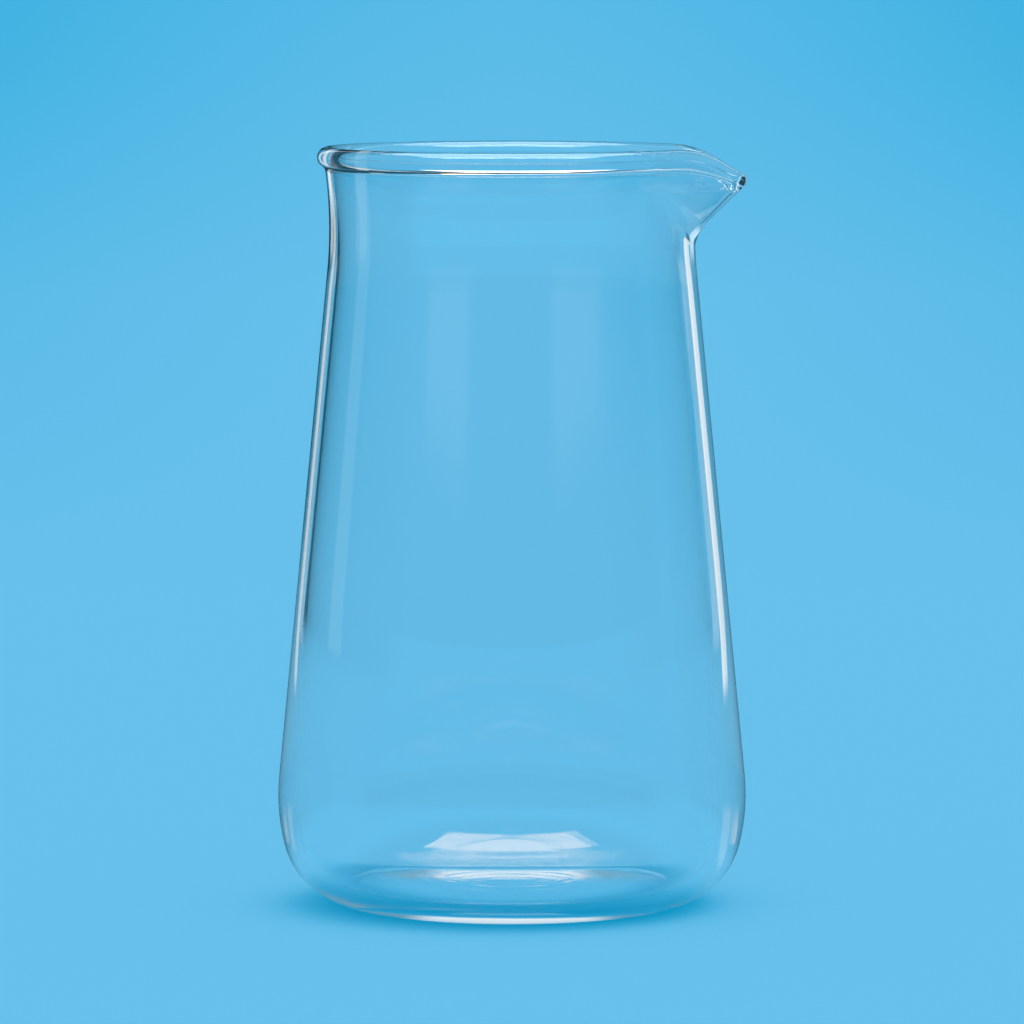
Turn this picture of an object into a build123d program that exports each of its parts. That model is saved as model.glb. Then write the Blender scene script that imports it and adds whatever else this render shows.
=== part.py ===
"""A conical laboratory beaker, blown in one piece of borosilicate glass.

The wall leans in from a rounded heel to a short neck. The rim is rolled into a bead, and
on one side the glass is drawn out and down into a V-shaped pouring spout. The base stands
on a flat ring round a shallow push-up, and the inside floor is domed to match.

Origin: centre of the standing ring. +Z is up, the spout points along +X. Millimetres.
"""

from build123d import *
from math import acos, asin, atan2, cos, degrees, radians, sin, sqrt, tan
import os

# Overall
height = 128.0  # standing plane to the top of the bead
body_r = 39.6  # largest outside radius
body_z = 18.4  # height of the largest radius
wall = 2.3  # thickness of the wall
taper = radians(5.55)  # the wall leans in by this much

# Heel and base, outside
heel_r = 13.7  # tight curve of the heel
shoulder_r = 34.0  # easier curve between the heel and the straight wall
heel_cut = 0.06  # depth taken off the heel curve by the flat standing ring
ring_in_r = 23.6  # inner edge of the flat standing ring
push_up = 1.3  # rise of the underside at its centre

# Floor, inside
floor_z = 2.5  # lowest part of the floor, in the trough beside the wall
floor_centre_z = 4.0  # top of the domed floor

# Neck and rim
neck_z = 107.0  # the straight taper ends here
neck_r = 75.0  # curve that turns the wall upright, then flares it
bead_r = 1.75  # the rim is a round bead of glass
bead_path_r = 31.05  # radius of the bead's centre line round the mouth
rim_z = height - bead_r  # height of the bead's centre, where the wall ends
wall_cut = 0.8  # the wall stops this far below the bead's centre, inside the bead

# Spout: a V drawn out of the neck, its rim falling towards the tip
droop_x = 28.2  # the rim leaves the circle and starts to fall here
droop = radians(20.0)  # angle of the fall
spout_tip_x = 39.6  # outer tip of the glass on the falling rim
spout_in_x = 37.8  # inner tip on the falling rim
spout_tan = 1.07  # half-width of the outer V for each millimetre behind its corner
spout_in_tan = 1.02  # the same for the inner V
spout_round = 5.0  # rounding of the outer V
spout_in_round = 3.2  # rounding of the inner V
spout_foot = (25.5, 106.0)  # x and z of the point the outer V grows from, inside the mouth
spout_in_foot = (23.0, 106.0)  # the same for the inner V
spout_blend = 5.0  # rounding where the V leaves the neck, outside
spout_in_blend = 3.0  # and inside
lip_x = 38.15  # centre of the bead at the tip
lip_round = 4.0  # rounding of the bead's path at the tip

over = 6.0  # the wall is drawn this far past the rim, then cut


def wall_side(inset, lowest):
    """Draw one side of the wall, from the heel's lowest point up past the rim."""
    tight, easy, bend = heel_r - inset, shoulder_r - inset, neck_r + inset
    heel_z = lowest + tight
    turn = acos((body_z - heel_z) / (easy - tight))
    heel_x = body_r - shoulder_r + (easy - tight) * sin(turn)
    below = acos(min(1.0, heel_z / tight)) if lowest < 0 else 0.0
    start = degrees(below) - 90
    heel = CenterArc((heel_x, heel_z), tight, start, degrees(turn) - 90 - start)
    shoulder = CenterArc(
        (body_r - shoulder_r, body_z),
        easy,
        degrees(turn) - 90,
        90 - degrees(turn) + degrees(taper),
    )
    foot = shoulder @ 1
    top_z = neck_z - inset * sin(taper)
    top_x = foot.X - (top_z - foot.Y) * tan(taper)
    Line(foot, (top_x, top_z))
    mid = (top_x + bend * cos(taper), top_z + bend * sin(taper))
    rise = degrees(asin((rim_z + over - mid[1]) / bend))
    neck = CenterArc(mid, bend, 180 + degrees(taper), -degrees(taper) - rise)
    return heel @ 0, neck @ 1


def spout_horn(tip_x, half_tan, rounding, foot):
    """A horn that widens from a point to a rounded V, drawn on past the falling rim."""
    grow = 1.4
    falling = Plane(
        origin=(foot[0] + grow * (droop_x - foot[0]), 0, foot[1] + grow * (rim_z - foot[1])),
        x_dir=(cos(droop), 0, -sin(droop)),
        z_dir=(sin(droop), 0, cos(droop)),
    )
    sine = half_tan / sqrt(1 + half_tan**2)
    corner = grow * (tip_x + rounding * (1 / sine - 1) - droop_x) / cos(droop)
    back = -5.0 * grow
    half = (corner - back) * cos(droop) * half_tan
    with BuildPart() as horn:
        with BuildSketch(falling) as mouth:
            with BuildLine():
                Polyline((back, -half), (corner, 0), (back, half), close=True)
            make_face()
            fillet(mouth.vertices().sort_by(Axis.X)[-1], radius=grow * rounding)
        loft(sections=[Vertex(foot[0], 0, foot[1]), mouth.sketch.faces()[0]])
    return horn.part


def seam(form):
    """The edges where the horn leaves the neck."""
    return [
        edge
        for edge in form.edges().filter_by(GeomType.BSPLINE)
        if 25 < edge.center().X < 31.5 and 111 < edge.center().Z < 128
    ]


# Profiles are drawn behind the axis, away from the spout
behind = Plane(origin=(0, 0, 0), x_dir=(-1, 0, 0), z_dir=(0, 1, 0))

# Outside of the glass
with BuildPart() as outside:
    with BuildSketch(behind):
        with BuildLine():
            ring_out, flare = wall_side(0.0, -heel_cut)
            Line(ring_out, (ring_in_r, 0))
            Spline((ring_in_r, 0), (0, push_up), tangents=[(-1, 0.11), (-1, 0)])
            Polyline((0, push_up), (0, flare.Y), flare)
        make_face()
    revolve(axis=Axis.Z)
    add(spout_horn(spout_tip_x, spout_tan, spout_round, spout_foot))
    fillet(seam(outside), radius=spout_blend)

# The hollow
with BuildPart() as hollow:
    with BuildSketch(behind):
        with BuildLine():
            trough, flare = wall_side(wall, floor_z)
            Spline(trough, (0, floor_centre_z), tangents=[(-1, 0), (-1, 0)])
            Polyline((0, floor_centre_z), (0, flare.Y), flare)
        make_face()
    revolve(axis=Axis.Z)
    add(spout_horn(spout_in_x, spout_in_tan, spout_in_round, spout_in_foot))
    fillet(seam(hollow), radius=spout_in_blend)


# The rim's bead: a ring round the back of the mouth, then a swept length round the spout
fall = tan(droop)
kink_y = sqrt(bead_path_r**2 - droop_x**2)
leave = degrees(atan2(kink_y, droop_x)) + 6.0
lean = (lip_x - lip_round - droop_x, kink_y)
flank = asin(lip_round / sqrt(lean[0] ** 2 + lean[1] ** 2)) + atan2(lean[1], lean[0])
touch = (lip_x - lip_round + lip_round * sin(flank), lip_round * cos(flank))
side = [(droop_x - 0.45, kink_y + 0.95, rim_z - 0.05)]
for part_way in (0.25, 0.7, 1.0):
    run = part_way * (touch[0] - droop_x)
    side.append((droop_x + run, kink_y + part_way * (touch[1] - kink_y), rim_z - run * fall))
tip = (lip_x, 0, rim_z - (lip_x - droop_x) * fall)
with BuildPart() as bead:
    with BuildSketch(Plane.XZ):
        with Locations((bead_path_r, rim_z)):
            Circle(bead_r)
    revolve(axis=Axis.Z, revolution_arc=360 - 2 * leave)
    ring = bead.part.rotate(Axis.Z, leave)
with BuildPart() as lip:
    with BuildLine() as path:
        edge = radians(leave)
        start = (bead_path_r * cos(edge), bead_path_r * sin(edge), rim_z)
        far_side = [(x, -y, z) for x, y, z in reversed(side)]
        Spline(
            start,
            *side,
            tip,
            *far_side,
            (start[0], -start[1], rim_z),
            tangents=[(sin(edge), -cos(edge), 0), (-sin(edge), -cos(edge), 0)],
        )
    with BuildSketch(Plane(origin=start, z_dir=(sin(edge), -cos(edge), 0))):
        Circle(bead_r)
    sweep()
with BuildPart() as rim:
    add(ring)
    add(lip.part)

# The wall: the outside less the hollow, cut along the rim
with BuildPart() as shell:
    add(outside.part)
    add(hollow.part, mode=Mode.SUBTRACT)
    with BuildSketch(Plane.XZ):
        with BuildLine():
            cut_z = rim_z - wall_cut
            Polyline(
                (-60, cut_z),
                (droop_x, cut_z),
                (60, cut_z - (60 - droop_x) * fall),
                (60, 180),
                (-60, 180),
                close=True,
            )
        make_face()
    extrude(amount=60, both=True, mode=Mode.SUBTRACT)

# The beaker: the wall with the bead melted onto its cut edge
with BuildPart() as glass_beaker:
    add(shell.part)
    add(rim.part)

os.makedirs("parts", exist_ok=True)
glass_beaker.part.label = "glass_beaker"
export_step(glass_beaker.part, "parts/glass_beaker.step")
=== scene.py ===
"""Looks for the conical glass beaker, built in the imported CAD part's frame. Metres, +Z up.

The glass is one closed mesh laid out in columns round the axis. Each column runs from the
middle of the underside, out over the standing ring and heel, up the wall, over the rim's
bead, down the inside and across the floor. Near the rim the columns follow the bead's own
path, so the spout is the same skin drawn outwards and not a separate piece.

The stage is a sheet of pale blue paper. Its lights, cards and dome hang on an empty that
turns with the camera, as they would stay put round an object on a turntable.
"""

import math

import bpy
import numpy as np
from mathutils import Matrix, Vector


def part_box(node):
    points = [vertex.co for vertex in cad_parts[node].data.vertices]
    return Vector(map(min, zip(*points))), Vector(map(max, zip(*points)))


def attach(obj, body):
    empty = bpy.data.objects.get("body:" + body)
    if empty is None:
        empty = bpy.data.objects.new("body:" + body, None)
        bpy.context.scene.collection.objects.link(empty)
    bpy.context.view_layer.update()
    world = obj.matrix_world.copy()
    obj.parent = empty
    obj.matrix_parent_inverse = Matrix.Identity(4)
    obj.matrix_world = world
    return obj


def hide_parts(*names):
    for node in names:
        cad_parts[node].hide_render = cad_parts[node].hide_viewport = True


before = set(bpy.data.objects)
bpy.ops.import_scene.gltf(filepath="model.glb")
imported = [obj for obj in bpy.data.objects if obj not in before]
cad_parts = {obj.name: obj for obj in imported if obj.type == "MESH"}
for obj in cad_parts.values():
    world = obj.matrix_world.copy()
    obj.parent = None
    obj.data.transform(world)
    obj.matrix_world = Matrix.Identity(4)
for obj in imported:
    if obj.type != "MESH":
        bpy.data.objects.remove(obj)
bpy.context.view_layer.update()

# ---------------------------------------------------------------- sizes, in millimetres
low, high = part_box("glass_beaker")
HEIGHT = (high.z - low.z) * 1000
BODY_R = high.y * 1000
TIP_X = high.x * 1000
BODY_Z = 18.4
TAPER = math.radians(5.55)

WALL = 2.45
CAVITY_X = -0.42  # the wall is thinner on the side away from the spout
SWELL, SWELL_Z, SWELL_UP, SWELL_DOWN = 1.85, 18.0, 19.0, 16.0  # thicker round the heel
NECK_THIN, THIN_FROM, THIN_OVER = 0.8, 104.0, 18.0  # thinner towards the rim

HEEL_R, SHOULDER_R = 13.7, 34.0
HEEL_CUT = 0.22  # the standing ring is ground flat by this much
RING_IN, RING_EDGE = 26.3, 0.25
PUSH_UP = 0.9
FLOOR_Z, FLOOR_CENTRE_Z, FLOOR_CROWN = 2.5, 3.5, 0.6
RIPPLE, RIPPLE_PITCH, RIPPLE_R, RIPPLE_SPREAD = 0.05, 4.4, 12.0, 6.0

NECK_Z, NECK_R = 107.0, 75.0
BEAD_R, BEAD_PATH_R = 1.75, 31.05
RIM_Z = HEIGHT - BEAD_R
OUTER_FILLET, INNER_FILLET = 1.1, 0.8

# The spout: a ridge that rises outwards from the wall, and the rim's path round its tip.
RIDGE_Z, RIDGE_SLOPE, RIDGE_BLEND = 106.0, 1.04, 2.8
RIDGE_OUT, TIP_OUT, ROUND_OUT = 23.1, 39.2, 5.0
RIDGE_IN, TIP_IN, ROUND_IN = 21.8, 37.9, 4.4
LIP_BEAD_R, LIP_SLIM_FROM = 1.2, 30.0
LIP_X = TIP_X - LIP_BEAD_R - 0.4
LIP_ROUND = 4.0
LIP_FALL, LIP_FALL_FROM, LIP_FALL_BLEND = 0.53, 31.0, 4.0
LIP_REACH = math.radians(60)

# ---------------------------------------------------------------- mesh density
FINE_STEP, COARSE_STEP, FINE_REACH = 0.5, 1.4, 40.0  # degrees
FILLET_STEPS, BEAD_STEPS = 8, 32
UNDER_RINGS, FLOOR_RINGS, TOP_ROWS = 24, 46, 32
OUTER_ROWS, INNER_ROWS = (24, 7, 14), (22, 8, 18)  # heel, shoulder, taper
Z_LOW = 104.0  # above this height the rows lean over to the rim's bearings
CROWDING = 1.35  # rows stand closer towards the rim
HALVINGS, SEARCH = 44, 6.0  # how the walls are found from the bead's centre
WALL_AT = -1.2, -3.4  # heights, from the bead's centre, where the walls' lean is taken


def soft_step(u, w):
    """0 below -w, u above w, and a parabola between them."""
    return np.where(u <= -w, 0.0, np.where(u >= w, u, (u + w) ** 2 / (4 * w)))


def ease(s):
    return s * s * (3 - 2 * s)


def swell(z):
    """How much thicker than WALL the glass is, by the height of its inside."""
    z = np.asarray(z, float)
    spread = np.where(z > SWELL_Z, SWELL_UP, SWELL_DOWN)
    thin = np.clip((z - THIN_FROM) / THIN_OVER, 0, 1)
    return SWELL * np.exp(-(((z - SWELL_Z) / spread) ** 2)) - NECK_THIN * ease(thin)


def hull(bearing, round_r, tip_x, rounding):
    """Radius of a circle drawn out to a rounded tip along +X, by straight flanks that leave
    the circle without a crease."""
    a = np.minimum(np.abs(bearing), math.radians(89))
    tip_x = np.maximum(tip_x, round_r + 1e-6)
    corner = (tip_x - rounding) / (1 - rounding / round_r)
    sine = np.minimum(round_r / corner, 1.0)
    cosine = np.sqrt(1 - sine**2)
    leave = np.arccos(sine)
    centre = corner - rounding / sine
    touch = np.arctan2(rounding * cosine, centre + rounding * sine)
    inside = np.maximum(rounding**2 - (centre * np.sin(a)) ** 2, 0)
    arc = centre * np.cos(a) + np.sqrt(inside)
    flank = round_r / np.cos(np.maximum(leave - a, 0))
    return np.where(a < touch, arc, flank)


class Side:
    """The outside (inset 0) or inside (inset = wall) of the glass, above the base."""

    def __init__(self, inset, lowest, ridge_x, tip_x, rounding):
        self.inset = inset
        self.tight, self.easy, self.bend = HEEL_R - inset, SHOULDER_R - inset, NECK_R + inset
        self.heel_z = lowest + self.tight
        self.turn = math.acos((BODY_Z - self.heel_z) / (self.easy - self.tight))
        self.heel_x = BODY_R - SHOULDER_R + (self.easy - self.tight) * math.sin(self.turn)
        self.curve_x = BODY_R - SHOULDER_R + self.easy * math.cos(TAPER)
        self.curve_z = BODY_Z + self.easy * math.sin(TAPER)
        self.neck_z = NECK_Z - inset * math.sin(TAPER)
        neck_x = self.curve_x - (self.neck_z - self.curve_z) * math.tan(TAPER)
        self.mid = (
            neck_x + self.bend * math.cos(TAPER),
            self.neck_z + self.bend * math.sin(TAPER),
        )
        self.ridge_x, self.tip_x, self.rounding = ridge_x, tip_x, rounding

    def round_r(self, z):
        """Radius of the plain wall at height z, without the spout."""
        z = np.asarray(z, float)
        taper = self.curve_x - (z - self.curve_z) * math.tan(TAPER)
        up = np.clip(z - self.mid[1], -self.bend, self.bend)
        neck = self.mid[0] - np.sqrt(self.bend**2 - up**2)
        plain = np.where(z > self.neck_z, neck, taper)
        return plain - swell(z) if self.inset else plain

    def r(self, bearing, z):
        plain = self.round_r(z)
        ridge = self.ridge_x + RIDGE_SLOPE * (np.asarray(z, float) - RIDGE_Z)
        drawn = soft_step(np.minimum(ridge, self.tip_x) - plain, RIDGE_BLEND)
        radius = hull(bearing, plain, plain + drawn, self.rounding)
        return radius + CAVITY_X * np.cos(bearing) if self.inset else radius

    def miss(self, p):
        """Signed radial distance of points from the surface."""
        return np.hypot(p[..., 0], p[..., 1]) - self.r(np.arctan2(p[..., 1], p[..., 0]), p[..., 2])


outer = Side(0.0, -HEEL_CUT, RIDGE_OUT, TIP_OUT, ROUND_OUT)
inner = Side(WALL, FLOOR_Z, RIDGE_IN, TIP_IN, ROUND_IN)

# ---------------------------------------------------------------- columns and the rim's path
fine = np.radians(np.arange(-FINE_REACH, FINE_REACH, FINE_STEP))
coarse = np.radians(np.arange(FINE_REACH, 360.0 - FINE_REACH, COARSE_STEP))
phi = np.concatenate([fine, coarse])
COLUMNS = len(phi)


def rim_path(a):
    """Centre of the rim's bead at bearing a, as points."""
    b = (a + math.pi) % (2 * math.pi) - math.pi
    r = hull(b, BEAD_PATH_R, LIP_X, LIP_ROUND)
    x, y = r * np.cos(a), r * np.sin(a)
    z = RIM_Z - LIP_FALL * soft_step(x - LIP_FALL_FROM, LIP_FALL_BLEND)
    z = np.where(np.abs(b) < LIP_REACH, z, RIM_Z)
    return np.stack([x, y, z], -1)


step = 1e-4  # radians, for the path's direction
centre = rim_path(phi)
along = rim_path(phi + step) - rim_path(phi - step)
along /= np.linalg.norm(along, axis=1, keepdims=True)
out = np.stack([along[:, 1], -along[:, 0], np.zeros(COLUMNS)], -1)
out /= np.linalg.norm(out, axis=1, keepdims=True)
up = np.cross(out, along)
up *= np.sign(up[:, 2:3])

slim = np.clip((centre[:, 0] - LIP_SLIM_FROM) / (LIP_X - LIP_SLIM_FROM), 0, 1)
bead_r = BEAD_R + (LIP_BEAD_R - BEAD_R) * ease(slim)


def at(n, b):
    """Points n outwards and b upwards from the bead's centre, in its cross-section."""
    return centre + n[:, None] * out + b[:, None] * up


def trace(side, b):
    """Where the wall crosses the bead's cross-section, b above the bead's centre."""
    lo_n, hi_n = np.full(COLUMNS, -SEARCH), np.full(COLUMNS, SEARCH)
    for _ in range(HALVINGS):
        mid = (lo_n + hi_n) / 2
        past = side.miss(at(mid, b)) > 0
        hi_n = np.where(past, mid, hi_n)
        lo_n = np.where(past, lo_n, mid)
    return (lo_n + hi_n) / 2


def fillet(side, sign):
    """Hollow between wall and bead. sign is 1 outside and -1 inside. Returns the tangent
    point on the wall, the fillet's centre and its radius, in (n, b)."""
    b1, b2 = (np.full(COLUMNS, b) for b in WALL_AT)
    n1, n2 = trace(side, b1) * sign, trace(side, b2) * sign
    d = np.stack([n2 - n1, b2 - b1], -1)
    d /= np.linalg.norm(d, axis=1, keepdims=True)
    m = np.stack([-d[:, 1], d[:, 0]], -1)
    h = m[:, 0] * n1 + m[:, 1] * b1
    rho = OUTER_FILLET if sign > 0 else INNER_FILLET
    h = np.minimum(h, bead_r - 0.01)
    t = np.sqrt((bead_r + rho) ** 2 - (h + rho) ** 2)
    mid = (h + rho)[:, None] * m + t[:, None] * d
    wall = h[:, None] * m + t[:, None] * d
    return wall, mid, rho


def fillet_rows(mid, rho, start, end, sign):
    """The fillet's arc from start to end, as rows of points."""
    a0 = np.arctan2(start[:, 1] - mid[:, 1], start[:, 0] - mid[:, 0])
    a1 = np.arctan2(end[:, 1] - mid[:, 1], end[:, 0] - mid[:, 0])
    turn = (a1 - a0 + math.pi) % (2 * math.pi) - math.pi
    rows = []
    for i in range(FILLET_STEPS + 1):
        a = a0 + turn * i / FILLET_STEPS
        n, b = mid[:, 0] + rho * np.cos(a), mid[:, 1] + rho * np.sin(a)
        rows.append(at(n * sign, b))
    return rows


def bead_rows():
    """Points of the section from the outer wall's tangent, over the bead, to the inner wall's."""
    wall_o, mid_o, rho_o = fillet(outer, 1)
    wall_i, mid_i, rho_i = fillet(inner, -1)
    touch_o = mid_o * (bead_r / (bead_r + rho_o))[:, None]
    touch_i = mid_i * (bead_r / (bead_r + rho_i))[:, None]
    rows = fillet_rows(mid_o, rho_o, wall_o, touch_o, 1)
    a0 = np.arctan2(touch_o[:, 1], touch_o[:, 0])
    a1 = math.pi - np.arctan2(touch_i[:, 1], touch_i[:, 0])
    a1 = np.where(a1 < a0, a1 + 2 * math.pi, a1)
    for i in range(1, BEAD_STEPS):
        a = a0 + (a1 - a0) * i / BEAD_STEPS
        rows.append(at(bead_r * np.cos(a), bead_r * np.sin(a)))
    return rows + fillet_rows(mid_i, rho_i, touch_i, wall_i, -1)


# ---------------------------------------------------------------- rows of the mesh
def wall_rows(side, top):
    """Rows on the wall from Z_LOW up to the top row, swinging over to its bearings."""
    phi_top = np.unwrap(np.arctan2(top[:, 1], top[:, 0]))
    phi_top += 2 * math.pi * np.round((phi[0] - phi_top[0]) / (2 * math.pi))
    rows = []
    for i in range(TOP_ROWS):
        s = i / TOP_ROWS
        bearing = phi + (phi_top - phi) * ease(s)
        z = Z_LOW + (top[:, 2] - Z_LOW) * (1 - (1 - s) ** CROWDING)
        r = side.r((bearing + math.pi) % (2 * math.pi) - math.pi, z)
        rows.append(np.stack([r * np.cos(bearing), r * np.sin(bearing), z], -1))
    return rows


def ring(r, z):
    return np.stack([r * np.cos(phi), r * np.sin(phi), np.full(COLUMNS, z)], -1)


def side_ring(side, r, z, a):
    """A ring of the profile whose outward normal leans a from straight down."""
    if not side.inset:
        return ring(r, z)
    e = float(swell(z))
    return ring(r - e * math.sin(a) + CAVITY_X * np.cos(phi), z + e * math.cos(a))


def side_rows(side, start_angle, counts):
    """Plain rings of the heel, shoulder and taper, from the bottom up to Z_LOW."""
    heel_rows, shoulder_rows, taper_rows = counts
    rows = []
    for i in range(heel_rows):
        a = start_angle + (side.turn - start_angle) * i / heel_rows
        r = side.heel_x + side.tight * math.sin(a)
        rows.append(side_ring(side, r, side.heel_z - side.tight * math.cos(a), a))
    end = math.pi / 2 + TAPER
    for i in range(shoulder_rows):
        a = side.turn + (end - side.turn) * i / shoulder_rows
        r = BODY_R - SHOULDER_R + side.easy * math.sin(a)
        rows.append(side_ring(side, r, BODY_Z - side.easy * math.cos(a), a))
    for i in range(taper_rows):
        z = side.curve_z + (Z_LOW - side.curve_z) * i / taper_rows
        r = side.curve_x - (z - side.curve_z) * math.tan(TAPER)
        rows.append(side_ring(side, r, z, end))
    return rows


def underside():
    """Rings of the push-up and the standing ring, and the angle where the heel starts."""
    ring_out = outer.heel_x + math.sqrt(outer.tight**2 - outer.heel_z**2)
    rows = []
    for i in range(1, UNDER_RINGS + 1):
        u = i / UNDER_RINGS
        rows.append(ring(RING_IN * u, PUSH_UP * (1 - u * u) ** 2))
    rows.append(ring((RING_IN + ring_out) / 2, 0.0))
    rows.append(ring(ring_out - RING_EDGE, 0.0))
    return rows, math.asin((ring_out - outer.heel_x) / outer.tight)


def floor_rows():
    """Rings of the floor from the trough inwards, with the faint ripples of its pressing."""
    rows = []
    edge = inner.heel_x
    trough = FLOOR_Z + float(swell(FLOOR_Z))
    for i in range(FLOOR_RINGS):
        u = 1 - i / FLOOR_RINGS
        r = edge * u
        crown = (1 - u * u) ** 2 * (1 + FLOOR_CROWN * u * u)
        wave = RIPPLE * math.sin(2 * math.pi * r / RIPPLE_PITCH)
        wave *= math.exp(-(((r - RIPPLE_R) / RIPPLE_SPREAD) ** 2))
        z = trough + (FLOOR_CENTRE_Z - trough) * crown + wave
        rows.append(ring(r + CAVITY_X * u * np.cos(phi), z))
    return rows


def all_rows():
    """Every ring, from the middle of the underside round to the middle of the floor."""
    rows, foot_angle = underside()
    rows += side_rows(outer, foot_angle, OUTER_ROWS)
    bead = bead_rows()
    rows += wall_rows(outer, bead[0])
    rows += bead
    inside = side_rows(inner, 0.0, INNER_ROWS) + wall_rows(inner, bead[-1])
    rows += inside[1:][::-1]
    return rows + floor_rows()


def glass_mesh():
    """The glass as quads between the rings, closed by a fan of triangles at either end."""
    rows = all_rows()
    under, floor = np.array([[0, 0, PUSH_UP]]), np.array([[0, 0, FLOOR_CENTRE_Z]])
    verts = np.concatenate([under] + rows + [floor]) / 1000.0
    faces = []
    for i in range(len(rows) - 1):
        a, b = 1 + i * COLUMNS, 1 + (i + 1) * COLUMNS
        for j in range(COLUMNS):
            k = (j + 1) % COLUMNS
            faces.append((a + j, a + k, b + k, b + j))
    last = 1 + (len(rows) - 1) * COLUMNS
    for j in range(COLUMNS):
        k = (j + 1) % COLUMNS
        faces.append((0, 1 + k, 1 + j))
        faces.append((last + j, last + k, len(verts) - 1))
    data = bpy.data.meshes.new("beaker_glass")
    data.from_pydata(verts.tolist(), [], faces)
    data.validate()
    data.update()
    data.shade_smooth()
    return data


def add(name, data):
    obj = bpy.data.objects.new(name, data)
    bpy.context.scene.collection.objects.link(obj)
    return obj


mesh = glass_mesh()
beaker = add("beaker_glass", mesh)
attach(beaker, "root")
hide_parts("glass_beaker")

rig = add("rig", None)


# ---------------------------------------------------------------- node helpers
class Sums:
    """Short names for shader nodes."""

    def __init__(self, tree):
        self.nodes, self.links = tree.nodes, tree.links
        self.nodes.clear()

    def new(self, kind):
        return self.nodes.new("ShaderNode" + kind)

    def feed(self, socket, value):
        if isinstance(value, tuple):
            socket.default_value = (*value, 1.0)
        elif isinstance(value, (int, float)):
            socket.default_value = value
        else:
            self.links.new(value, socket)

    def do(self, operation, *values, clamp=False):
        node = self.new("Math")
        node.operation = operation
        node.use_clamp = clamp
        for socket, value in zip(node.inputs, values):
            self.feed(socket, value)
        return node.outputs["Value"]

    def times(self, first, *others):
        for other in others:
            first = self.do("MULTIPLY", first, other)
        return first

    def ramp(self, value, start, end, low=0.0, high=1.0, kind="SMOOTHSTEP"):
        node = self.new("MapRange")
        node.interpolation_type = kind
        self.feed(node.inputs["Value"], value)
        for name, number in (
            ("From Min", start),
            ("From Max", end),
            ("To Min", low),
            ("To Max", high),
        ):
            node.inputs[name].default_value = number
        return node.outputs["Result"]

    def mix(self, factor, first, second):
        node = self.new("Mix")
        node.data_type = "RGBA"
        for socket, value in zip((node.inputs[0], *node.inputs[6:8]), (factor, first, second)):
            self.feed(socket, value)
        return node.outputs[2]

    def scaled(self, colour, strength):
        node = self.new("VectorMath")
        node.operation = "SCALE"
        self.links.new(colour, node.inputs[0])
        self.feed(node.inputs["Scale"], strength)
        return node.outputs["Vector"]

    def parts(self, vector):
        node = self.new("SeparateXYZ")
        self.links.new(vector, node.inputs["Vector"])
        return node.outputs["X"], node.outputs["Y"], node.outputs["Z"]

    def from_rig(self):
        node = self.new("TexCoord")
        node.object = rig
        return self.parts(node.outputs["Object"])

    def path(self, name):
        return self.new("LightPath").outputs[name]

    def edge_ray(self):
        """1 for a ray that has been through one wall at most, and 0 once it is through two."""
        return self.do("LESS_THAN", self.path("Transmission Depth"), 2.5)

    def outside_ray(self):
        """1 for a ray that has not been in the glass yet."""
        return self.do("LESS_THAN", self.path("Transmission Depth"), 0.5)

    def bearing(self, x, y):
        """Degrees from straight behind the object, positive to the right."""
        return self.do("MULTIPLY", self.do("ARCTAN2", x, y), 180 / math.pi)

    def side_light(self, x, y):
        """How much of the studio's light is left at each bearing. The paper ends at the sides."""
        b = self.bearing(x, y)
        beside = self.ramp(self.do("ABSOLUTE", b), *BESIDE_CAMERA)
        left = self.do("MAXIMUM", self.ramp(b, *LEFT_END), beside)
        right = self.do("MAXIMUM", self.ramp(b, *RIGHT_END), beside)
        left = self.do("MULTIPLY_ADD", left, 1 - LEFT_DARK, LEFT_DARK)
        right = self.do("MULTIPLY_ADD", right, 1 - RIGHT_DARK, RIGHT_DARK)
        is_left = self.do("LESS_THAN", x, 0.0)
        is_right = self.do("SUBTRACT", 1.0, is_left)
        return self.do("MULTIPLY_ADD", left, is_left, self.times(right, is_right))

    def emission(self, colour):
        node = self.new("Emission")
        self.feed(node.inputs["Color"], colour)
        return node.outputs["Emission"]

    def clear(self, colour=(1.0, 1.0, 1.0)):
        node = self.new("BsdfTransparent")
        self.feed(node.inputs["Color"], colour)
        return node.outputs["BSDF"]

    def blend(self, factor, first, second):
        node = self.new("MixShader")
        self.links.new(factor, node.inputs["Fac"])
        self.links.new(first, node.inputs[1])
        self.links.new(second, node.inputs[2])
        return node.outputs["Shader"]

    def surface(self, shader, kind="OutputMaterial"):
        self.links.new(shader, self.new(kind).inputs["Surface"])


def new_material(name):
    mat = bpy.data.materials.new(name)
    mat.use_nodes = True
    return mat, Sums(mat.node_tree)


def brightened(colour, strength):
    return tuple(c * strength for c in colour)


# ---------------------------------------------------------------- glass
GLASS, IOR = (0.985, 0.995, 1.0), 1.473

# Blown glass is a little uneven: slow waves, calmer at the fire-polished rim, and haze.
WAVE_SCALE, WAVE_STRETCH, WAVE_DEPTH = 38.0, 0.35, 0.0004
WAVE_BODY, WAVE_RIM, CALM_FROM, CALM_TO = 0.06, 0.004, 0.105, 0.118
HAZE_SCALE, HAZE_FROM, HAZE_TO, HAZE = 120.0, 0.35, 0.8, 0.035

# What the glass takes from lamps: nearly nothing in the wall, more in the heavy heel.
WALL_TINT = (0.993, 0.998, 1.0)
SHADE = (0.03, 0.70, 0.78)
SHADE_TOP = 0.013
SHADE_IN, SHADE_OUT, SHADE_MIDDLE = 0.019, 0.028, 0.15

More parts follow.
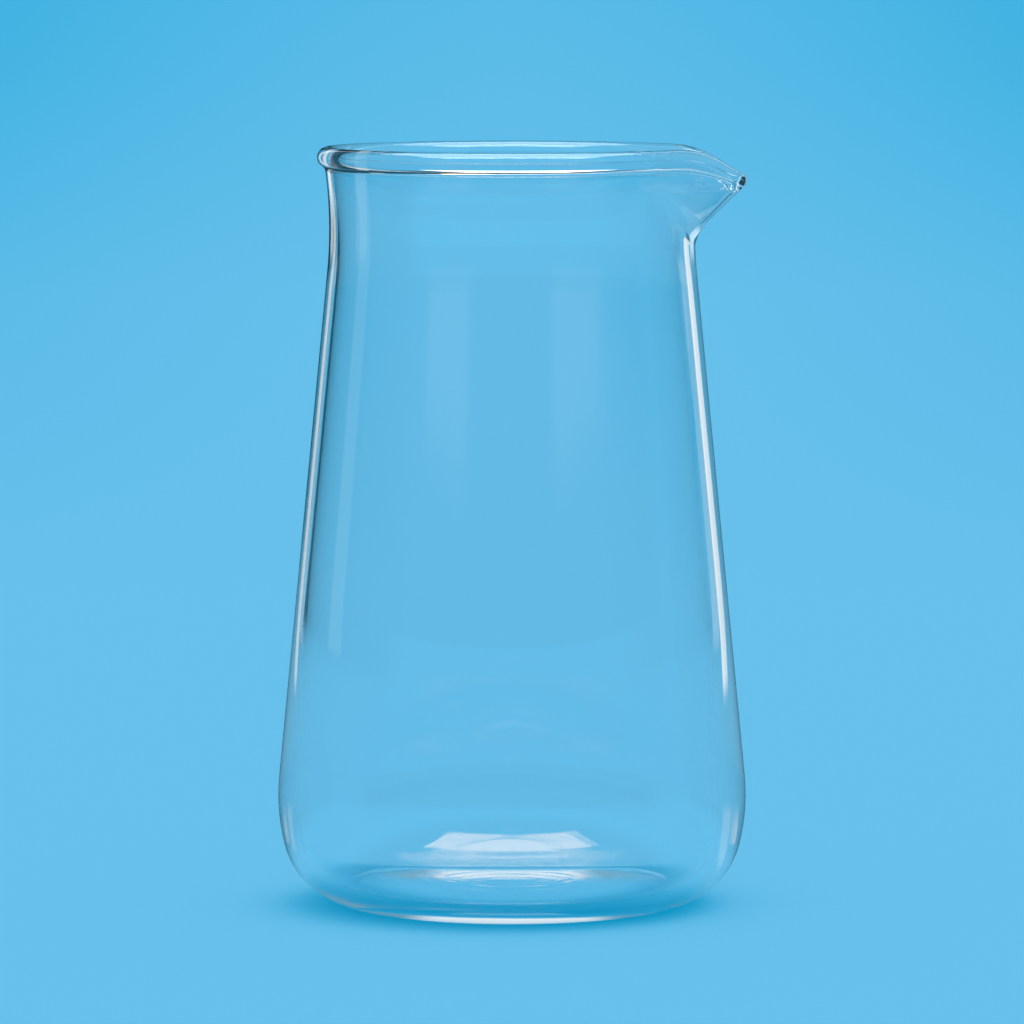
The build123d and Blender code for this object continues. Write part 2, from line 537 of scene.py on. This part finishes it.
# Where light is caught in the glass for many turns, the glass glows with painted light in its
# place: a painted highlight at the foot, painted shade in the rim and the spout's tip, and the
# paper's blue painted in the lower wall and the spout. Each pair of places is where a change
# starts and where it is complete.
CAUGHT_TURNS = 3.5
PAINTED_FOOT_HIGHLIGHT, PAINTED_FOOT_DIM = (0.85, 0.93, 0.97), (0.18, 0.33, 0.42)
PAINTED_CAUGHT_SHADE, PAINTED_PAPER_BLUE = (0.015, 0.06, 0.09), (0.19, 0.58, 0.88)
FOOT_UP, FOOT_ASIDE = (0.012, 0.006), (0.018, 0.011)
LOW_WALL = 0.070, 0.050
SPOUT_ROOT, SPOUT_TIP = (0.014, 0.020), (0.0375, 0.036)


def waviness(sums, coords, z):
    """The slow unevenness of blown glass, as a normal. The rim was fire-polished smooth."""
    stretch = sums.new("Mapping")
    stretch.inputs["Scale"].default_value = (1.0, 1.0, WAVE_STRETCH)
    sums.links.new(coords, stretch.inputs["Vector"])
    wave = sums.new("TexNoise")
    for name, number in (("Scale", WAVE_SCALE), ("Detail", 1.0), ("Roughness", 0.4)):
        wave.inputs[name].default_value = number
    sums.links.new(stretch.outputs["Vector"], wave.inputs["Vector"])
    bump = sums.new("Bump")
    bump.inputs["Distance"].default_value = WAVE_DEPTH
    strength = sums.ramp(z, CALM_FROM, CALM_TO, WAVE_BODY, WAVE_RIM, "LINEAR")
    sums.links.new(strength, bump.inputs["Strength"])
    sums.links.new(wave.outputs["Fac"], bump.inputs["Height"])
    return bump.outputs["Normal"]


def haze(sums, coords):
    """Faint patches that are a little less polished, as a roughness."""
    patches = sums.new("TexNoise")
    patches.inputs["Scale"].default_value = HAZE_SCALE
    patches.inputs["Detail"].default_value = 3.0
    sums.links.new(coords, patches.inputs["Vector"])
    return sums.ramp(patches.outputs["Fac"], HAZE_FROM, HAZE_TO, 0.0, HAZE, "LINEAR")


def lamp_tint(sums, x, y, z):
    """Colour of the glass for lamp rays, blue-green where they cross the heel."""
    heavy = sums.ramp(z, SHADE_TOP, 0.0)
    radius = sums.do("SQRT", sums.do("ADD", sums.times(x, x), sums.times(y, y)))
    heel = sums.ramp(radius, SHADE_IN, SHADE_OUT, SHADE_MIDDLE, 1.0)
    return sums.mix(sums.times(heavy, heel), WALL_TINT, SHADE)


def painted_caught_light(sums, own_x, own_z):
    """Painted light where light is caught in the glass: set by the place in the beaker, with a
    painted highlight at the foot that depends on where the foot is seen.
    """
    seen_x, _, seen_z = sums.from_rig()
    middle = sums.ramp(sums.do("ABSOLUTE", seen_x), *FOOT_ASIDE)
    at_foot = sums.mix(middle, PAINTED_FOOT_DIM, PAINTED_FOOT_HIGHLIGHT)
    spout = sums.times(sums.ramp(own_x, *SPOUT_ROOT), sums.ramp(own_x, *SPOUT_TIP))
    blue = sums.do("MAXIMUM", spout, sums.ramp(own_z, *LOW_WALL))
    above = sums.mix(blue, PAINTED_CAUGHT_SHADE, PAINTED_PAPER_BLUE)
    return sums.mix(sums.ramp(seen_z, *FOOT_UP), above, at_foot)


def glass_material():
    mat, sums = new_material("clear_glass")
    coords = sums.new("TexCoord").outputs["Object"]
    x, y, z = sums.parts(coords)
    glass = sums.new("BsdfPrincipled")
    sums.feed(glass.inputs["Base Color"], GLASS)
    glass.inputs["Transmission Weight"].default_value = 1.0
    glass.inputs["IOR"].default_value = IOR
    sums.links.new(haze(sums, coords), glass.inputs["Roughness"])
    sums.links.new(waviness(sums, coords, z), glass.inputs["Normal"])
    # lamp rays, and rays off the paper, pass straight through a tint, so no light is lost
    # and none is counted twice
    off_paper = sums.do("GREATER_THAN", sums.path("Diffuse Depth"), 0.5)
    lighting = sums.do("MAXIMUM", off_paper, sums.path("Is Shadow Ray"))
    tint = sums.clear(lamp_tint(sums, x, y, z))
    body = sums.blend(lighting, glass.outputs["BSDF"], tint)
    # where light has turned in the glass many times, the glass glows with painted light instead
    caught = sums.do("GREATER_THAN", sums.path("Glossy Depth"), CAUGHT_TURNS)
    sums.surface(sums.blend(caught, body, sums.emission(painted_caught_light(sums, x, z))))
    return mat


mesh.materials.append(glass_material())
cad_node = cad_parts["glass_beaker"]
cad_node.data.materials.clear()
cad_node.data.materials.append(mesh.materials[0])

# ---------------------------------------------------------------- stage
PAPER, PAPER_FAR = (0.1356, 0.5271, 0.8308), (0.0545, 0.451, 0.761)
SWEEP, ROOM, FRONT_ROOM = (0.115, 0.485, 0.785), (0.02, 0.07, 0.11), (0.03, 0.10, 0.16)
COOL, WARM = (0.93, 0.98, 1.0), (1.0, 0.60, 0.32)
BLACK, STEEP = (0.0, 0.0, 0.0), (0.02, 0.12, 0.22)
LEFT_DARK, RIGHT_DARK = 0.10, 0.55  # the light left where the paper has ended
OUTLINE_DARK = 0.9  # the light taken from glancing mirror images, for painted dark outlines
CAMERA_Y, CAMERA_Z, CAMERA_PITCH = -1.2206, 0.1686, 4.79
FLOOR_GAP = 3e-5  # keeps the paper off the standing ring's own plane
FLOOR_RADII = (0.05, 0.15, 0.4, 1.0, 2.0, 4.0, 8.0, 16.0, 30.0)
DOME_R, DOME_RINGS, DOME_FOOT, DOME_SPAN = 28.0, 12, -2, 91  # the last two in degrees

# Bearings, in degrees, where the paper ends at the left and at the right, and where the
# room's light starts again beside the camera.
LEFT_END, RIGHT_END, BESIDE_CAMERA = (-33.5, -32.0), (48.0, 38.0), (105.0, 125.0)

# Sines of the heights where the paper behind ends, and the dim room in front.
SWEEP_TOP, FRONT_TOP = (0.50, 0.66), (0.17, 0.23)

# How the paper's colour goes to PAPER_FAR with the distance from the camera, a painted shade
# for the light falling off: in the middle of the frame, and more at its edges.
MIDDLE_FALL, MIDDLE_NEAR = 0.585, 1.85
EDGE_FALL, EDGE_NEAR, EDGE_MOST = 0.79, 1.4, 0.6
EDGE_ASIDE, EDGE_POWER = 0.07, 1.5
LEAST_REACH = 0.3

# Softness of the cards: at their sides in degrees, and at their foot in metres.
EDGE_SOFT, FRONT_SOFT = (1.2, 0.012), (7.0, 0.05)
STEEP_RISE = 0.2, 0.32
RIM_ZONE = 0.108, 0.112


def round_mesh(name, count, rings, closed=False):
    """Quads between rings of count points each. rings holds (radius, height) pairs, and
    closed fills the first one."""
    pts, faces = [], []
    for r, z in rings:
        for j in range(count):
            a = 2 * math.pi * j / count
            pts.append((r * math.cos(a), r * math.sin(a), z))
    for i in range(len(rings) - 1):
        for j in range(count):
            k = (j + 1) % count
            p, q = i * count, (i + 1) * count
            faces.append((p + j, q + j, q + k, p + k))
    if closed:
        pts.append((0.0, 0.0, rings[0][1]))
        faces += [(len(pts) - 1, j, (j + 1) % count) for j in range(count)]
    data = bpy.data.meshes.new(name)
    data.from_pydata(pts, [], faces)
    data.validate()
    return data


def paper_tone(sums, x, y):
    """The paper's colour, with painted shade where the light falls off towards the far corners."""
    reach = sums.do("MAXIMUM", sums.do("SUBTRACT", y, CAMERA_Y), LEAST_REACH)
    near = sums.do("DIVIDE", 1.0, reach)
    aside = sums.do("DIVIDE", sums.do("ABSOLUTE", x), reach)
    aside = sums.do("POWER", sums.do("DIVIDE", aside, EDGE_ASIDE, clamp=True), EDGE_POWER)
    edges = sums.do("MULTIPLY_ADD", near, -EDGE_NEAR, EDGE_FALL, clamp=True)
    edges = sums.do("MINIMUM", edges, EDGE_MOST)
    middle = sums.do("MULTIPLY_ADD", near, -MIDDLE_NEAR, MIDDLE_FALL, clamp=True)
    fall = sums.do("MULTIPLY_ADD", edges, aside, middle, clamp=True)
    return sums.mix(fall, PAPER, PAPER_FAR)


def paper_dark(sums, x, y):
    """Where the paper is drawn black for rays from the glass, a painted dark reflection: past its
    ends at the sides, for rays out of an edge, and all along the outline, for rays mirrored at a
    glancing angle."""
    far = sums.do("ADD", sums.times(x, x), sums.times(y, y))
    ended = sums.do("SUBTRACT", 1.0, sums.side_light(x, y))
    bent = sums.do("MAXIMUM", sums.path("Is Glossy Ray"), sums.path("Is Transmission Ray"))
    ended = sums.times(ended, sums.ramp(far, 0.14**2, 0.6**2), sums.edge_ray(), bent)
    mirrored = sums.times(sums.outside_ray(), sums.path("Is Glossy Ray"))
    glancing = sums.times(mirrored, sums.ramp(y, 0.0, 0.05, 0.0, OUTLINE_DARK))
    return sums.do("MAXIMUM", ended, glancing)


def paper_floor():
    """Seamless paper: a disc far wider than any camera's distance."""
    data = round_mesh("floor", 96, [(r, 0.0) for r in FLOOR_RADII], closed=True)
    floor = add("floor", data)
    floor.location.z = -FLOOR_GAP
    mat, sums = new_material("paper")
    x, y, _ = sums.from_rig()
    paper = sums.new("BsdfDiffuse")
    sums.links.new(paper_tone(sums, x, y), paper.inputs["Color"])
    black = sums.emission(BLACK)
    # the paper turns black for these rays: painted dark reflections in the glass's edges and
    # outline
    sums.surface(sums.blend(paper_dark(sums, x, y), paper.outputs["BSDF"], black))
    data.materials.append(mat)


def only_in_glass(obj):
    """The object lights nothing and is seen only by way of the glass."""
    obj.visible_camera = False
    obj.visible_diffuse = False
    obj.visible_shadow = False
    obj.visible_volume_scatter = False
    obj.parent = rig


def panel(name, corners, mat):
    data = bpy.data.meshes.new(name)
    data.from_pydata(corners, [], [(0, 1, 2, 3)])
    data.materials.append(mat)
    only_in_glass(add(name, data))


def card(name, bearings, distance, heights, softness, colour_of, shown_of=None):
    """An upright card between two bearings. It isn't there for rays that have been through
    both walls. colour_of gets the sums and the ray's rise back to the glass, and shown_of
    gets the height on the card as well."""
    (start, end), (low_z, high_z), (soft, foot) = bearings, heights, softness
    corners = []
    for b, z in ((start, low_z), (end, low_z), (end, high_z), (start, high_z)):
        a = math.radians(b)
        corners.append((distance * math.sin(a), distance * math.cos(a), z))
    mat, sums = new_material(name)
    x, y, z = sums.from_rig()
    b = sums.bearing(x, y)
    rise = sums.parts(sums.new("NewGeometry").outputs["Incoming"])[2]
    sides = (sums.ramp(b, start, start + soft), sums.ramp(b, end - soft, end, 1.0, 0.0))
    here = sums.times(*sides, sums.ramp(z, low_z, low_z + foot), sums.edge_ray())
    if shown_of:
        here = sums.times(here, shown_of(sums, rise, z))
    light = sums.emission(colour_of(sums, rise))
    sums.surface(sums.blend(here, sums.clear(), light))
    panel(name, corners, mat)


def edge_card(name, bearings, distance, height, strength):
    """A card for the edges of the glass. Rays that come down on it steeply find it dark, and
    only the rim and the spout mirror it straight off their outside."""

    def colour(sums, rise):
        return sums.mix(sums.ramp(rise, *STEEP_RISE), brightened(COOL, strength), STEEP)

    def shown(sums, rise, z):
        entered = sums.do("GREATER_THAN", sums.path("Transmission Depth"), 0.5)
        left_at = sums.do("MULTIPLY_ADD", rise, sums.path("Ray Length"), z)
        return sums.do("MAXIMUM", entered, sums.ramp(left_at, *RIM_ZONE))

    card(name, bearings, distance, (0.0, height), EDGE_SOFT, colour, shown)


def front_card(name, bearings, strength):
    """A soft card beside the camera, mirrored faintly in the front of the wall."""

    def colour(sums, rise):
        return brightened(COOL, strength)

    card(name, bearings, 1.0, (0.155, 0.5), FRONT_SOFT, colour)


def softbox(name, xs, ys, zs, light_of):
    """A four-cornered light between two edges along x. light_of gets the sums and returns
    a shader."""
    corners = [
        (xs[0], ys[0], zs[0]),
        (xs[1], ys[0], zs[0]),
        (xs[1], ys[1], zs[1]),
        (xs[0], ys[1], zs[1]),
    ]
    mat, sums = new_material(name)
    sums.surface(light_of(sums))
    panel(name, corners, mat)


def overhead_light(sums):
    """Warm in the floor of the beaker, and white along the rim."""
    colour = sums.mix(sums.outside_ray(), brightened(WARM, 6.0), brightened(COOL, 9.0))
    return sums.emission(colour)


def rim_light(sums):
    """Mirrored only straight off the outside: it lies along the top of the far rim and the
    spout."""
    return sums.blend(sums.outside_ray(), sums.clear(), sums.emission(brightened(COOL, 5.0)))


def back_light(sums):
    """Bright by way of the glass, and black when mirrored straight off its outside."""
    return sums.emission(sums.mix(sums.outside_ray(), brightened(COOL, 2.2), BLACK))


def dome():
    """What the glass sees above the floor: paper behind, and a dim room overhead and in front."""
    steps = range(DOME_RINGS + 1)
    levels = [math.radians(DOME_FOOT + DOME_SPAN * i / DOME_RINGS) for i in steps]
    data = round_mesh("dome", 48, [(DOME_R * math.cos(e), DOME_R * math.sin(e)) for e in levels])
    obj = add("dome", data)
    mat, sums = new_material("dome")
    x, y, z = sums.from_rig()
    height = sums.do("DIVIDE", z, DOME_R)
    sky = sums.mix(sums.ramp(height, *SWEEP_TOP), SWEEP, ROOM)
    front = sums.times(sums.ramp(y, 4.0, -4.0), sums.ramp(height, *FRONT_TOP, 1.0, 0.0))
    sky = sums.mix(front, sky, FRONT_ROOM)
    dark = sums.times(sums.do("SUBTRACT", 1.0, sums.side_light(x, y)), sums.edge_ray())
    glancing = sums.times(sums.outside_ray(), sums.ramp(y, 0.0, 3.0, 0.0, OUTLINE_DARK))
    dark = sums.do("MAXIMUM", dark, glancing)
    sums.surface(sums.emission(sums.scaled(sky, sums.do("SUBTRACT", 1.0, dark))))
    data.materials.append(mat)
    only_in_glass(obj)


paper_floor()
dome()
edge_card("strip_left", (-37.0, -28.5), 0.15, 0.5, 1.05)
edge_card("strip_right", (28.5, 41.0), 0.15, 0.5, 1.2)
edge_card("side_left", (-80.0, -67.0), 0.45, 0.8, 0.6)
front_card("front_left", (-158.0, -125.0), 0.5)
front_card("front_right", (120.0, 158.0), 0.5)
softbox("overhead", (-0.78, 0.78), (-0.76, -0.13), (1.2, 1.2), overhead_light)
softbox("rim_light", (-0.7, 0.7), (-0.13, 0.8), (1.2, 1.2), rim_light)
softbox("back_top", (-0.14, 0.17), (1.0, 1.0), (0.68, 1.2), back_light)

# ---------------------------------------------------------------- light on the paper
SKY = 0.62  # share of the paper's light that comes from all round; the sun gives the rest
SUN_TILT = math.radians(25)  # about how far the sun leans from overhead

world = bpy.data.worlds.new("studio")
bpy.context.scene.world = world
world.use_nodes = True
sky_sums = Sums(world.node_tree)
background = sky_sums.new("Background")
sky_tone = sky_sums.mix(sky_sums.path("Is Camera Ray"), (SKY, SKY, SKY), PAPER_FAR)
sky_sums.links.new(sky_tone, background.inputs["Color"])
sky_sums.surface(background.outputs["Background"], "OutputWorld")

key = bpy.data.lights.new("key", "SUN")
key.energy = (1.0 - SKY) * math.pi / math.cos(SUN_TILT)
key.angle = math.radians(50)
sun = add("key", key)
sun.rotation_euler = (math.radians(-15), math.radians(20), 0)
sun.visible_glossy = False
sun.visible_transmission = False

# ---------------------------------------------------------------- camera
lens = bpy.data.cameras.new("camera")
lens.lens = 254.9
lens.sensor_width = 36.0
lens.clip_start, lens.clip_end = 0.05, 30.0
camera = add("camera", lens)
camera.location = (0.0, CAMERA_Y, CAMERA_Z)
camera.rotation_euler = (math.radians(90 - CAMERA_PITCH), 0, 0)
bpy.context.scene.camera = camera
follow = rig.constraints.new("LOCKED_TRACK")
follow.target = camera
follow.track_axis = "TRACK_NEGATIVE_Y"
follow.lock_axis = "LOCK_Z"
bpy.context.scene.view_settings.view_transform = "Standard"
